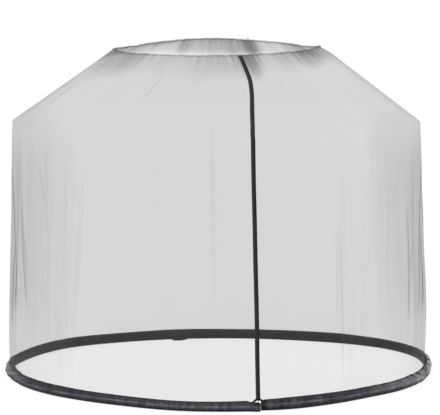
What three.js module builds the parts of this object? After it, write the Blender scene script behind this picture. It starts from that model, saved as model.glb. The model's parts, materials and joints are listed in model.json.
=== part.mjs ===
// A parasol mosquito net: one wide panel of netting, drawn in by gathers round a
// top opening, spread at the shoulder where the parasol's edge carries it, and
// hanging from there to a round weight sleeve that lies on the ground. A zip
// runs from the top opening down to the sleeve and is the way in.
//
// Millimetres, +Z up. The origin is the middle of the top opening, and the zip
// is on the -Y side. Azimuths are degrees from the zip, growing towards +X.
// Each strip of cloth is a box or cylinder blank, merged while it is straight
// and then bent to the shape in which it hangs.

import * as THREE from 'three';
import { mergeVertices } from 'three/addons/utils/BufferGeometryUtils.js';

// ---------------------------------------------------------------- sizes

const RIM_RADIUS = 707;         // the gathered top opening
const SHOULDER_RADIUS = 1418;   // where the parasol's edge spreads the net
const SHOULDER_DROP = 502;      // below the top opening
const SHOULDER_ROUND = 11;      // the netting's bend there, measured down from its corner
const TOTAL_HEIGHT = 2300;      // from the top opening to the ground

const NET_THICKNESS = 2;
const CLEARANCE = 0.43;         // between the net, the tapes, the coil and the slider
const FOOT_CLEARANCE = 0.66;    // between the net's foot and the weight sleeve
const COLUMN_DEGREES = 3;       // one column of faces round the net
const ZIP_STIFF_HALF = 45;      // folds die out this near the zip

const TAPE_WIDTH = 14.6;        // one side of the zip
const TAPE_THICKNESS = 1.4;
const TAPE_GAP_HALF = 0.5;      // from the zip's middle line to each tape
const NET_GAP_HALF = 2;         // from the zip's middle line to each edge of the net
const COIL_RADIUS = 3;
const COIL_FLATNESS = 0.42;     // the closed coil is lower than it is wide
const COIL_BELOW_NET = 42;      // the coil's free end, between the sleeve's ends

const SLEEVE_RING_RADIUS = 1469;
const SLEEVE_WIDTH = 64;
const SLEEVE_MEAN_HEIGHT = 70;
const FOOT_INSET = 4;           // the net stands this far inside the sleeve's middle line
const SLEEVE_SIDES = 12;
const SLEEVE_STEPS = 92;
const SLEEVE_FULLNESS = 0.85;   // under 1 is fuller than an ellipse
const SLEEVE_LEFT_END = -3;     // sideways from the zip's plane
const SLEEVE_RIGHT_END = 24;

const SLIDER_LENGTH = 15;
const SLIDER_PARKED = 0.78;     // of the way down the coil's free end
const SLIDER_WALL = 1.4;
const PULL_WIDTH = 9;
const PULL_LENGTH = 25;
const PULL_THICKNESS = 1.6;

// ---------------------------------------------------------------- tables

// The net's own section, from the top opening to its foot: each row's radius
// and height, and how many rows of faces lead to the next. The roof is a
// straight slope, and the wall spreads a little on its way down.
const ROOF_SLOPE = SHOULDER_DROP / (SHOULDER_RADIUS - RIM_RADIUS);
const roofRadius = drop => RIM_RADIUS + drop / ROOF_SLOPE;
const FOOT_HEIGHT = -TOTAL_HEIGHT + SLEEVE_MEAN_HEIGHT + FOOT_CLEARANCE;
const SECTIONS = [
  { name: 'rim', radius: RIM_RADIUS, height: 0, rows: 4 },
  { name: 'gathers end', radius: roofRadius(220), height: -220, rows: 2 },
  {
    name: 'shoulder top',
    radius: roofRadius(SHOULDER_DROP - SHOULDER_ROUND),
    height: -SHOULDER_DROP + SHOULDER_ROUND,
    rows: 1,
  },
  {
    name: 'shoulder foot',
    radius: SHOULDER_RADIUS,
    height: -SHOULDER_DROP - SHOULDER_ROUND,
    rows: 2,
  },
  { name: 'wall middle', radius: 1431, height: -1080, rows: 2 },
  { name: 'wall low', radius: 1454, height: -1720, rows: 2 },
  { name: 'foot', radius: SLEEVE_RING_RADIUS - FOOT_INSET, height: FOOT_HEIGHT },
];

// The top opening isn't level: how far its edge is lifted round the net.
const RIM_LIFT = [
  { azimuth: 0, lift: 1 },
  { azimuth: 40, lift: 8 },
  { azimuth: 76, lift: 10 },
  { azimuth: 104, lift: -14 },
  { azimuth: 122, lift: -8 },
  { azimuth: 146, lift: 4 },
  { azimuth: 167, lift: 15 },
  { azimuth: 186, lift: 12 },
  { azimuth: 206, lift: -3 },
  { azimuth: 227, lift: -18 },
  { azimuth: 260, lift: -13 },
  { azimuth: 305, lift: -8 },
  { azimuth: 360, lift: 1 },
];

// How far the zip strays sideways from the -Y plane: it leans over on the roof,
// where the gathers push it, and hangs almost plumb below the shoulder.
// Its last, free stretch leans a little towards the sleeve's right end.
const ZIP_PATH = [
  { height: 0, sideways: 12 },
  { height: -80, sideways: 36 },
  { height: -165, sideways: 51 },
  { height: -250, sideways: 39 },
  { height: -335, sideways: 17 },
  { height: -500, sideways: -26 },
  { height: -1170, sideways: -15 },
  { height: -1750, sideways: -6 },
  { height: -2226, sideways: -1 },
  { height: -2262, sideways: 8 },
  { height: -2300, sideways: 14 },
];

// The folds: a ridge, or a trough where depth is negative, that runs from one
// azimuth at its top to another at its foot. Width is half of its breadth.
const FOLDS = [
  { top: -500, foot: -2200, azimuthTop: 22, azimuthFoot: 26, width: 75, depth: 15 },
  { top: -560, foot: -2050, azimuthTop: 6, azimuthFoot: 8, width: 85, depth: -9 },
  { top: -640, foot: -900, azimuthTop: 45, azimuthFoot: 38, width: 80, depth: 12 },
  { top: -520, foot: -2150, azimuthTop: 55, azimuthFoot: 57, width: 80, depth: 14 },
  { top: -700, foot: -2180, azimuthTop: 64, azimuthFoot: 63, width: 75, depth: -13 },
  { top: -520, foot: -1900, azimuthTop: 72, azimuthFoot: 74, width: 80, depth: 16 },
  { top: -900, foot: -2200, azimuthTop: 81, azimuthFoot: 79, width: 90, depth: 20 },
  { top: -480, foot: -1700, azimuthTop: 98, azimuthFoot: 95, width: 95, depth: -10 },
  { top: -560, foot: -2200, azimuthTop: 118, azimuthFoot: 120, width: 90, depth: 12 },
  { top: -700, foot: -2100, azimuthTop: 143, azimuthFoot: 139, width: 100, depth: 13 },
  { top: -500, foot: -1800, azimuthTop: 166, azimuthFoot: 168, width: 90, depth: -11 },
  { top: -540, foot: -2200, azimuthTop: 186, azimuthFoot: 184, width: 85, depth: 12 },
  { top: -800, foot: -2150, azimuthTop: 209, azimuthFoot: 212, width: 95, depth: 14 },
  { top: -500, foot: -1900, azimuthTop: 232, azimuthFoot: 230, width: 90, depth: -10 },
  { top: -560, foot: -2180, azimuthTop: 248, azimuthFoot: 250, width: 85, depth: 12 },
  { top: -620, foot: -2200, azimuthTop: 262, azimuthFoot: 262, width: 80, depth: 15 },
  { top: -520, foot: -2000, azimuthTop: 271, azimuthFoot: 273, width: 75, depth: -14 },
  { top: -560, foot: -2150, azimuthTop: 281, azimuthFoot: 279, width: 80, depth: 13 },
  { top: -600, foot: -880, azimuthTop: 294, azimuthFoot: 299, width: 80, depth: 12 },
  { top: -560, foot: -2210, azimuthTop: 309, azimuthFoot: 304, width: 80, depth: 15 },
  { top: -620, foot: -1500, azimuthTop: 328, azimuthFoot: 327, width: 85, depth: -8 },
  { top: -500, foot: -2000, azimuthTop: 346, azimuthFoot: 348, width: 75, depth: 10 },
];

// The gathers round the top opening: how many there are of each size, how deep
// they are at the rim, and the distance down the roof over which they open out.
const GATHERS = [
  { count: 9, depth: 4, phase: 0.4, reach: 380 },
  { count: 17, depth: 5, phase: 2.1, reach: 240 },
  { count: 26, depth: 6, phase: 4.4, reach: 180 },
  { count: 41, depth: 5, phase: 1.2, reach: 120 },
];

// Long waves in the wall, which keep its outline from being a true circle.
const WAVES = [
  { count: 5, depth: 4, phase: 1.0, turn: 0.9 },
  { count: 8, depth: 3, phase: 3.6, turn: -1.4 },
  { count: 13, depth: 2.5, phase: 5.2, turn: 1.1 },
];

// The weight sleeve is laid out by hand, so its middle line strays from a true
// circle, and the net's foot strays with it. Its two ends don't quite line up.
const SLEEVE_STRAY = [
  { azimuth: 0, out: 15 },
  { azimuth: 9, out: 16 },
  { azimuth: 22, out: -26 },
  { azimuth: 36, out: -52 },
  { azimuth: 50, out: -24 },
  { azimuth: 66, out: -2 },
  { azimuth: 79, out: 5 },
  { azimuth: 90, out: 34 },
  { azimuth: 101, out: 88 },
  { azimuth: 116, out: 118 },
  { azimuth: 128, out: 86 },
  { azimuth: 144, out: 20 },
  { azimuth: 162, out: -10 },
  { azimuth: 182, out: -22 },
  { azimuth: 200, out: -8 },
  { azimuth: 216, out: 26 },
  { azimuth: 234, out: 8 },
  { azimuth: 258, out: -6 },
  { azimuth: 284, out: -22 },
  { azimuth: 310, out: -48 },
  { azimuth: 324, out: -38 },
  { azimuth: 340, out: 17 },
  { azimuth: 352, out: 28 },
  { azimuth: 360, out: 38 },
];
const BRIDGE_DEGREES = 8;       // the net's foot bridges the two ends over this far

// How full the sleeve is: its height from the ground round the net.
const SLEEVE_FILL = [
  { azimuth: 0, height: 69 },
  { azimuth: 10, height: 79 },
  { azimuth: 20, height: 77 },
  { azimuth: 36, height: 73 },
  { azimuth: 60, height: 74 },
  { azimuth: 90, height: 70 },
  { azimuth: 120, height: 67 },
  { azimuth: 135, height: 72 },
  { azimuth: 165, height: 69 },
  { azimuth: 181, height: 73 },
  { azimuth: 195, height: 69 },
  { azimuth: 216, height: 71 },
  { azimuth: 262, height: 67 },
  { azimuth: 290, height: 74 },
  { azimuth: 312, height: 69 },
  { azimuth: 345, height: 64 },
  { azimuth: 360, height: 69 },
];

// The sleeve's two ends are drawn in: by the distance from the end, how far the
// top drops at each one and how wide the sleeve still is.
const SLEEVE_END = [
  { inward: 0, leftDrop: 16, rightDrop: 22, width: 0.84 },
  { inward: 22, leftDrop: 11, rightDrop: 15, width: 0.93 },
  { inward: 70, leftDrop: 2, rightDrop: 3, width: 0.99 },
  { inward: 130, leftDrop: 0, rightDrop: 0, width: 1 },
];

// ---------------------------------------------------------------- helpers

const radians = THREE.MathUtils.degToRad;

// A smooth curve through a table's rows (a Catmull-Rom spline), read at one key.
function readTable(table, key, value, at) {
  const falling = table[0][key] > table[table.length - 1][key];
  const rows = falling ? [...table].reverse() : table;
  const last = rows.length - 1;
  const place = THREE.MathUtils.clamp(at, rows[0][key], rows[last][key]);
  let i = 0;
  while (i < last - 1 && place > rows[i + 1][key]) {
    i += 1;
  }
  const slope = (a, b) => (rows[b][value] - rows[a][value]) / (rows[b][key] - rows[a][key]);
  const span = rows[i + 1][key] - rows[i][key];
  const t = (place - rows[i][key]) / span;
  const startSlope = slope(Math.max(i - 1, 0), i + 1) * span;
  const endSlope = slope(i, Math.min(i + 2, last)) * span;
  return rows[i][value] * (2 * t ** 3 - 3 * t ** 2 + 1)
    + startSlope * (t ** 3 - 2 * t ** 2 + t)
    + rows[i + 1][value] * (3 * t ** 2 - 2 * t ** 3)
    + endSlope * (t ** 3 - t ** 2);
}

// A blank whose shared corners are merged while it is still straight.
function closedBlank(geometry) {
  geometry.deleteAttribute('normal');
  geometry.deleteAttribute('uv');
  return mergeVertices(geometry);
}

// Moves each corner of a blank to the place that the function gives for it.
function bend(blank, place) {
  const position = blank.attributes.position;
  const corner = new THREE.Vector3();
  for (let i = 0; i < position.count; i += 1) {
    corner.fromBufferAttribute(position, i);
    const moved = place(corner);
    position.setXYZ(i, moved.x, moved.y, moved.z);
  }
  blank.computeVertexNormals();
  return blank;
}

function piece(name, geometry, colour, roughness, metalness = 0) {
  const material = new THREE.MeshStandardMaterial({ color: colour, roughness, metalness });
  const mesh = new THREE.Mesh(geometry, material);
  mesh.name = name;
  return mesh;
}

// ---------------------------------------------------------------- the hung surface

// The stations down the net, one for each line between two rows of faces.
const stations = SECTIONS.slice(0, -1).flatMap((from, i) => {
  const to = SECTIONS[i + 1];
  return Array.from({ length: from.rows }, (_, row) => ({
    radius: THREE.MathUtils.lerp(from.radius, to.radius, row / from.rows),
    height: THREE.MathUtils.lerp(from.height, to.height, row / from.rows),
  }));
});
stations.push(SECTIONS[SECTIONS.length - 1]);
const NET_ROWS = stations.length - 1;

// 1 between two heights, falling smoothly to 0 within a margin inside each end.
function lengthwiseFade(height, top, foot, margin = 160) {
  const fromTop = THREE.MathUtils.smoothstep(top - height, 0, margin);
  const fromFoot = THREE.MathUtils.smoothstep(height - foot, 0, margin);
  return fromTop * fromFoot;
}

function foldDepth(azimuth, { radius, height }) {
  return FOLDS.reduce((sum, fold) => {
    const run = (fold.top - height) / (fold.top - fold.foot);
    const centre = THREE.MathUtils.lerp(fold.azimuthTop, fold.azimuthFoot, run);
    const across = radians(azimuth - centre) * radius / fold.width;
    return sum + fold.depth * Math.exp(-across * across)
      * lengthwiseFade(height, fold.top, fold.foot);
  }, 0);
}

function gatherDepth(azimuth, { radius, height }) {
  const down = Math.hypot(radius - RIM_RADIUS, height);
  return GATHERS.reduce((sum, { count, depth, phase, reach }) => (
    sum + depth * Math.exp(-down / reach) * Math.sin(count * radians(azimuth) + phase)
  ), 0);
}

function waveDepth(azimuth, { height }) {
  const inWall = THREE.MathUtils.smoothstep(-height, 0, SHOULDER_DROP);
  return inWall * WAVES.reduce((sum, { count, depth, phase, turn }) => (
    sum + depth * Math.sin(count * radians(azimuth) + phase - turn * height / 1000)
  ), 0);
}

// The stray of the net's foot: the sleeve's own, bridged over where it ends.
function footStray(azimuth) {
  const sleeveStray = at => readTable(SLEEVE_STRAY, 'azimuth', 'out', at);
  const left = sleeveStray(360 - BRIDGE_DEGREES);
  const right = sleeveStray(BRIDGE_DEGREES);
  if (azimuth > BRIDGE_DEGREES && azimuth < 360 - BRIDGE_DEGREES) {
    return sleeveStray(azimuth);
  }
  const fromZip = azimuth > 180 ? azimuth - 360 : azimuth;
  return THREE.MathUtils.mapLinear(fromZip, -BRIDGE_DEGREES, BRIDGE_DEGREES, left, right);
}

// The net's middle surface at an azimuth and a station. Near the zip the cloth
// follows the zip's own path and carries no folds, and at the foot it is flat
// where it is sewn to the sleeve and follows the sleeve's middle line and top.
function hungPoint(azimuth, station) {
  const { radius, height } = station;
  const fromZip = Math.min(azimuth, 360 - azimuth);
  const alongside = Math.max(0, Math.cos(radians(Math.min(3 * fromZip, 90)))) ** 2;
  const stray = readTable(ZIP_PATH, 'height', 'sideways', height) * alongside;
  const angle = radians(azimuth) + stray / radius;

  const distance = radians(fromZip) * radius;
  const free = THREE.MathUtils.smoothstep(distance, TAPE_WIDTH + 1, ZIP_STIFF_HALF + 60);
  const loose = THREE.MathUtils.smoothstep(height, FOOT_HEIGHT, FOOT_HEIGHT + 120);
  const relief = foldDepth(azimuth, station) + waveDepth(azimuth, station);
  const out = free * (loose * relief + gatherDepth(azimuth, station));

  const downWall = THREE.MathUtils.mapLinear(height, -SHOULDER_DROP, FOOT_HEIGHT, 0, 1);
  const drawn = Math.max(downWall, 0) * footStray(azimuth);
  const upRoof = Math.max(1 + height / SHOULDER_DROP, 0);
  const fill = readTable(SLEEVE_FILL, 'azimuth', 'height', azimuth);
  const lift = upRoof * readTable(RIM_LIFT, 'azimuth', 'lift', azimuth)
    + Math.max(downWall, 0) ** 4 * (fill - SLEEVE_MEAN_HEIGHT);
  const reach = radius + out + drawn;
  return new THREE.Vector3(reach * Math.sin(angle), -reach * Math.cos(angle), height + lift);
}

// The station at a fractional row, so that slopes can be taken across a row.
function stationAt(row) {
  const i = Math.min(Math.floor(Math.max(row, 0)), NET_ROWS - 1);
  const t = THREE.MathUtils.clamp(row - i, 0, 1);
  return {
    radius: THREE.MathUtils.lerp(stations[i].radius, stations[i + 1].radius, t),
    height: THREE.MathUtils.lerp(stations[i].height, stations[i + 1].height, t),
  };
}

// The surface's outward direction, from its slopes round and down the net.
function outwardAt(azimuth, row) {
  const round = hungPoint(azimuth + 0.4, stationAt(row))
    .sub(hungPoint(azimuth - 0.4, stationAt(row)));
  const up = hungPoint(azimuth, stationAt(row - 0.3))
    .sub(hungPoint(azimuth, stationAt(row + 0.3)));
  return round.cross(up).normalize();
}

// A point on the net, raised from its middle surface by an offset.
function raisedPoint(azimuth, row, offset) {
  const direction = outwardAt(azimuth, row);
  return hungPoint(azimuth, stationAt(row)).addScaledVector(direction, offset);
}

// ---------------------------------------------------------------- net

// The columns round the net: its edge under the zip tape, the tape's outer edge,
// and then even steps to the same two on the other side.
const evenColumns = 360 / COLUMN_DEGREES - 1;
const NET_COLUMNS = evenColumns + 3;

function columnAzimuth(column, radius) {
  const mirrored = column > NET_COLUMNS / 2;
  const i = mirrored ? NET_COLUMNS - column : column;
  const degreesFor = sideways => THREE.MathUtils.radToDeg(sideways / radius);
  const edges = [degreesFor(NET_GAP_HALF), degreesFor(TAPE_GAP_HALF + TAPE_WIDTH)];
  const azimuth = i < 2 ? edges[i] : (i - 1) * COLUMN_DEGREES;
  return mirrored ? 360 - azimuth : azimuth;
}

function netPanel() {
  const flat = new THREE.BoxGeometry(
    NET_COLUMNS, NET_ROWS, NET_THICKNESS, NET_COLUMNS, NET_ROWS, 1,
  );
  return bend(closedBlank(flat), corner => {
    const row = Math.round(NET_ROWS / 2 - corner.y);
    const column = Math.round(corner.x + NET_COLUMNS / 2);
    const azimuth = columnAzimuth(column, stations[row].radius);
    return raisedPoint(azimuth, row, corner.z);
  });
}

// ---------------------------------------------------------------- zip

// A place beside the zip's middle line, raised over the net's outer face.
function besideZip(sideways, row, raised) {
  const turn = THREE.MathUtils.radToDeg(sideways / stationAt(row).radius);
  return raisedPoint(turn < 0 ? 360 + turn : turn, row, NET_THICKNESS / 2 + raised);
}

function zipTape(side) {
  const flat = new THREE.BoxGeometry(TAPE_WIDTH, NET_ROWS, TAPE_THICKNESS, 1, NET_ROWS, 1);
  const middle = side * (TAPE_GAP_HALF + TAPE_WIDTH / 2);
  return bend(closedBlank(flat), corner => {
    const row = Math.round(NET_ROWS / 2 - corner.y);
    const raised = CLEARANCE + TAPE_THICKNESS / 2 + corner.z;
    return besideZip(middle + corner.x, row, raised);
  });
}

// The closed coil lies on the tapes' outer face, and its last stretch hangs
// free between the sleeve's two ends.
const COIL_RAISED = 2 * CLEARANCE + TAPE_THICKNESS + COIL_RADIUS * COIL_FLATNESS;

function coilPoint(sideways, row, outward) {
  const below = Math.max(row - NET_ROWS, 0) * COIL_BELOW_NET;
  const foot = besideZip(sideways, Math.min(row, NET_ROWS), COIL_RAISED + outward);
  const strayed = readTable(ZIP_PATH, 'height', 'sideways', FOOT_HEIGHT - below)
    - readTable(ZIP_PATH, 'height', 'sideways', FOOT_HEIGHT);
  return below > 0 ? foot.add(new THREE.Vector3(strayed, 0, -below)) : foot;
}

function zipCoil() {
  const rows = NET_ROWS + 1;
  const straight = new THREE.CylinderGeometry(COIL_RADIUS, COIL_RADIUS, rows, 6, rows);
  return bend(closedBlank(straight), corner => {
    const row = Math.round(rows / 2 - corner.y);
    return coilPoint(-corner.z, row, corner.x * COIL_FLATNESS);
  });
}

// ---------------------------------------------------------------- slider and pull

// Where the slider is parked: low on the coil's free end, turned as that leans,
// with the pull hanging in front.
const coilFoot = coilPoint(0, NET_ROWS, 0);
const coilEnd = coilPoint(0, NET_ROWS + 1, 0);
const parked = coilFoot.clone().lerp(coilEnd, SLIDER_PARKED);
const lean = Math.atan2(coilEnd.x - coilFoot.x, coilFoot.z - coilEnd.z);

// A channel that wraps the coil from the front, extruded up along it.
function zipSlider() {
  const inner = COIL_RADIUS + CLEARANCE;
  const outer = inner + SLIDER_WALL;
  const depth = COIL_RADIUS * COIL_FLATNESS;
  const front = -depth - CLEARANCE;
  const shape = new THREE.Shape();
  shape.moveTo(-outer, depth);
  shape.lineTo(-outer, front - SLIDER_WALL * 0.6);
  shape.quadraticCurveTo(0, front - SLIDER_WALL * 1.9, outer, front - SLIDER_WALL * 0.6);
  shape.lineTo(outer, depth);
  shape.lineTo(inner, depth);
  shape.lineTo(inner, front);
  shape.lineTo(-inner, front);
  shape.lineTo(-inner, depth);
  const channel = new THREE.ExtrudeGeometry(shape, {
    depth: SLIDER_LENGTH, bevelEnabled: false, curveSegments: 4,
  });
  channel.translate(0, 0, -SLIDER_LENGTH / 2);
  channel.rotateY(-lean);
  channel.translate(parked.x, parked.y, parked.z);
  return closedBlank(channel);
}

// A flat tab with round ends and a hole, hanging down in front of the slider.
function zipPull() {
  const half = PULL_WIDTH / 2;
  const shape = new THREE.Shape();
  shape.absarc(0, 0, half, 0, Math.PI, false);
  shape.absarc(0, half - PULL_LENGTH + half, half, Math.PI, 2 * Math.PI, false);
  const hole = new THREE.Path();
  hole.absarc(0, 0, half * 0.5, 0, 2 * Math.PI, true);
  shape.holes.push(hole);
  const tab = new THREE.ExtrudeGeometry(shape, {
    depth: PULL_THICKNESS, bevelEnabled: false, curveSegments: 6,
  });
  tab.rotateX(Math.PI / 2);
  const sliderFront = COIL_RADIUS * COIL_FLATNESS + CLEARANCE + SLIDER_WALL * 1.3;
  tab.translate(parked.x, parked.y - sliderFront - CLEARANCE, parked.z);
  return closedBlank(tab);
}

// ---------------------------------------------------------------- weight sleeve

// The stations along the sleeve, in degrees: close together at its two ends,
// where it is drawn in, and even between them.
const endSteps = SLEEVE_END.map(row => row.inward);
const sleeveStart = THREE.MathUtils.radToDeg(SLEEVE_RIGHT_END / SLEEVE_RING_RADIUS);
const sleeveStop = 360 + THREE.MathUtils.radToDeg(SLEEVE_LEFT_END / SLEEVE_RING_RADIUS);

function sleeveAzimuth(step) {
  const degreesFor = along => THREE.MathUtils.radToDeg(along / SLEEVE_RING_RADIUS);
  const lastEnd = endSteps.length - 1;
  if (step <= lastEnd) {
    return sleeveStart + degreesFor(endSteps[step]);
  }
  if (step >= SLEEVE_STEPS - lastEnd) {
    return sleeveStop - degreesFor(endSteps[SLEEVE_STEPS - step]);
  }
  const from = sleeveStart + degreesFor(endSteps[lastEnd]);
  const to = sleeveStop - degreesFor(endSteps[lastEnd]);
  return THREE.MathUtils.lerp(from, to, (step - lastEnd) / (SLEEVE_STEPS - 2 * lastEnd));
}

// A filled tube with a flat underside, a little fuller in some places than in
// others, whose top dips at its two ends.
function weightSleeve() {
  const straight = new THREE.CylinderGeometry(
    1, 1, SLEEVE_STEPS, SLEEVE_SIDES, SLEEVE_STEPS, false, Math.PI / SLEEVE_SIDES,
  );
  const full = value => Math.sign(value) * Math.abs(value) ** SLEEVE_FULLNESS;
  const flatAt = full(Math.cos(Math.PI / SLEEVE_SIDES));
  return bend(closedBlank(straight), corner => {
    const azimuth = sleeveAzimuth(Math.round(corner.y + SLEEVE_STEPS / 2));
    const nearRight = azimuth < 180;
    const fromEnd = nearRight ? azimuth - sleeveStart : sleeveStop - azimuth;
    const inward = radians(fromEnd) * SLEEVE_RING_RADIUS;
    const drop = readTable(SLEEVE_END, 'inward', nearRight ? 'rightDrop' : 'leftDrop', inward);
    const narrowed = readTable(SLEEVE_END, 'inward', 'width', inward);
    const across = full(corner.x) * SLEEVE_WIDTH / 2 * narrowed;
    const height = readTable(SLEEVE_FILL, 'azimuth', 'height', azimuth) - drop;
    const up = full(corner.z) / flatAt * height / 2 + height / 2 - TOTAL_HEIGHT;
    const reach = SLEEVE_RING_RADIUS + across
      + readTable(SLEEVE_STRAY, 'azimuth', 'out', azimuth);
    const angle = radians(azimuth);
    return new THREE.Vector3(reach * Math.sin(angle), -reach * Math.cos(angle), up);
  });
}

// ---------------------------------------------------------------- assembly

const CHARCOAL = 0x38383c;
const BLACK = 0x1f1f22;
const STEEL = 0x8a8a8c;

const object = new THREE.Group();
object.add(piece('net', netPanel(), 0x4a4a4c, 0.9));
object.add(piece('zip_tape_left', zipTape(-1), CHARCOAL, 0.85));
object.add(piece('zip_tape_right', zipTape(1), CHARCOAL, 0.85));
object.add(piece('zip_coil', zipCoil(), BLACK, 0.5));
object.add(piece('zip_slider', zipSlider(), STEEL, 0.35, 0.9));
object.add(piece('zip_pull', zipPull(), STEEL, 0.35, 0.9));
object.add(piece('weight_sleeve', weightSleeve(), CHARCOAL, 0.7));

export default object;
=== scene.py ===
# %% [markdown]
# # A parasol mosquito net
#
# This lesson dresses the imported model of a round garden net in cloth. The real
# thing is one panel of sheer netting, gathered round a top opening, with a zip
# down its front and a filled weight sleeve that lies on the ground. The packed
# model is loaded first, and every later place is measured from it.

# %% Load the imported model
import json
import bpy
import numpy as np
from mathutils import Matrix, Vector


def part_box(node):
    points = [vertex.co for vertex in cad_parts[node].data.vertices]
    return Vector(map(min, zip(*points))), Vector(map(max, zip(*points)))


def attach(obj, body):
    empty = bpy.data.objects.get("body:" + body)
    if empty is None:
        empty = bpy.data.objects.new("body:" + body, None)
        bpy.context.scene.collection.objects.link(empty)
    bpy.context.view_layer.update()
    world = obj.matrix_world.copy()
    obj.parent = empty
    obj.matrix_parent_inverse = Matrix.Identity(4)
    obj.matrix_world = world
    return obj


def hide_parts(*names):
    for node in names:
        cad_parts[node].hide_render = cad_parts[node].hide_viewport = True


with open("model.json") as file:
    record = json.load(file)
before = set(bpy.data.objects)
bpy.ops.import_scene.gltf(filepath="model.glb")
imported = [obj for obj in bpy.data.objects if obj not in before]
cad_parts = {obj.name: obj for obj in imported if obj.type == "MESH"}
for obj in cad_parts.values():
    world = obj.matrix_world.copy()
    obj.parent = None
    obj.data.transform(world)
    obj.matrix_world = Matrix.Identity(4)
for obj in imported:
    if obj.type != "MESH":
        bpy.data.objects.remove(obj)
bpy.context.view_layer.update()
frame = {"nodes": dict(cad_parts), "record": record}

record = frame["record"]
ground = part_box("weight_sleeve")[0].z
slots = [material["slot"] for material in record["materials"]]
print("Nodes:", sorted(frame["nodes"]))
print("Material slots:", slots)

# %% [markdown]
# ## The camera
#
# A long lens far away keeps the ring at the foot close to a plain ellipse. The
# camera stands above head height and a little to the left of the zip, and looks
# slightly down, so that the inside of the top opening shows.

# %% Camera
def in_scene(name, data):
    """A new object that shows a mesh, a lamp or a camera, put in the scene."""
    made = bpy.data.objects.new(name, data)
    bpy.context.scene.collection.objects.link(made)
    return made


CAMERA_AWAY = 21.18
CAMERA_ABOVE_GROUND = 3.757
CAMERA_AZIMUTH = np.radians(-10.6)
CAMERA_DOWN = np.radians(6.96)

camera_data = bpy.data.cameras.new("camera")
camera_data.sensor_width = 36
camera_data.lens = 248.56
camera_data.shift_x = 0.0076
camera_data.clip_end = 500
camera = in_scene("camera", camera_data)
camera.location = (
    CAMERA_AWAY * np.sin(CAMERA_AZIMUTH),
    -CAMERA_AWAY * np.cos(CAMERA_AZIMUTH),
    ground + CAMERA_ABOVE_GROUND,
)
camera.rotation_euler = (np.pi / 2 - CAMERA_DOWN, 0, CAMERA_AZIMUTH)
bpy.context.scene.camera = camera
print("Camera at", [round(value, 2) for value in camera.location])

# %% [markdown]
# ## Small tools for materials
#
# A colour is easier to choose as an sRGB hex code, but a shader counts in linear
# light, so one function turns one into the other. Another adds a node with its
# settings and its inputs in one call, which keeps a long material readable.

# %% Colour and node helpers
def linear(code):
    """An sRGB hex colour as linear red, green, blue and alpha: below 0.04045 a
    value is divided by 12.92, and above it follows a power of 2.4."""
    srgb = np.array([int(code[i:i + 2], 16) for i in (1, 3, 5)]) / 255
    light = np.where(srgb <= 0.04045, srgb / 12.92, ((srgb + 0.055) / 1.055) ** 2.4)
    return (*light, 1.0)


def add(material, kind, inputs=None, **settings):
    """Adds a shader node. Settings are the node's own, and each input is given by
    its name or number, as a plain value, as another node, which stands for its
    first output, or as one of its other outputs."""
    made = material.node_tree.nodes.new("ShaderNode" + kind)
    for name, value in settings.items():
        setattr(made, name, value)
    for name, value in (inputs or {}).items():
        if isinstance(value, bpy.types.Node):
            value = value.outputs[0]
        if isinstance(value, bpy.types.NodeSocket):
            material.node_tree.links.new(value, made.inputs[name])
        else:
            made.inputs[name].default_value = value
    return made


def blank_material(name):
    """A material with node shading and no nodes as yet."""
    material = bpy.data.materials.new(name)
    material.use_nodes = True
    material.node_tree.nodes.clear()
    return material


def finish_with(material, shader, output="OutputMaterial"):
    """Adds the output node and joins a shader node to it. The material is done."""
    add(material, output, {"Surface": shader})
    return material


# %% [markdown]
# ## Small tools for surfaces
#
# Every piece here is a grid of points worked out with numpy. A smooth curve
# through the model's own corners gives the fine grid, and one function turns a
# grid into a mesh, with a UV map that is measured in metres of cloth.

# %% Curves and meshes from arrays
def through(values, knots, at):
    """A smooth curve through rows of values, read at the places `at`. Between two
    knots it is the cubic that meets both rows, with a slope at each knot that is
    the mean of the slopes on its two sides, each weighted by the other's span."""
    values, knots, at = (np.asarray(a, float) for a in (values, knots, at))
    flat = (-1,) + (1,) * (values.ndim - 1)
    span = np.diff(knots)
    slope = np.diff(values, axis=0) / span.reshape(flat)
    before, after = span[:-1].reshape(flat), span[1:].reshape(flat)
    tangent = np.concatenate([
        slope[:1],
        (slope[:-1] * after + slope[1:] * before) / (before + after),
        slope[-1:],
    ])
    i = np.clip(np.searchsorted(knots, at, side="right") - 1, 0, len(span) - 1)
    t = ((at - knots[i]) / span[i]).reshape(flat)
    h = span[i].reshape(flat)
    return (
        values[i] * (2 * t**3 - 3 * t**2 + 1)
        + tangent[i] * h * (t**3 - 2 * t**2 + t)
        + values[i + 1] * (3 * t**2 - 2 * t**3)
        + tangent[i + 1] * h * (t**3 - t**2)
    )


def smoothstep(value, low, high):
    """0 below low, 1 above high, and 3t² - 2t³ between them."""
    t = np.clip((value - low) / (high - low), 0, 1)
    return t * t * (3 - 2 * t)


def between(value, rise, level, fall, gone):
    """0, then smoothly up to 1, and smoothly down to 0 again."""
    return smoothstep(value, rise, level) * (1 - smoothstep(value, fall, gone))


def bell(value, centre, width):
    """A bell curve with its top, 1, at the centre."""
    return np.exp(-(((value - centre) / width) ** 2))


def bells(value, *rows):
    """A sum of bells, each given by its centre, its width and its height."""
    return sum(height * bell(value, centre, width) for centre, width, height in rows)


def full(value, power):
    """A sine or cosine to a power below 1, which fills out a circle's corners."""
    return np.sign(value) * np.abs(value) ** power


def full_turn(steps):
    """The angles of one whole turn in equal steps, without the last, 360 degrees."""
    return np.linspace(0, 2 * np.pi, steps, endpoint=False)


def unit(vectors):
    """Vectors divided by their own lengths."""
    return vectors / np.linalg.norm(vectors, axis=-1, keepdims=True)


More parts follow.
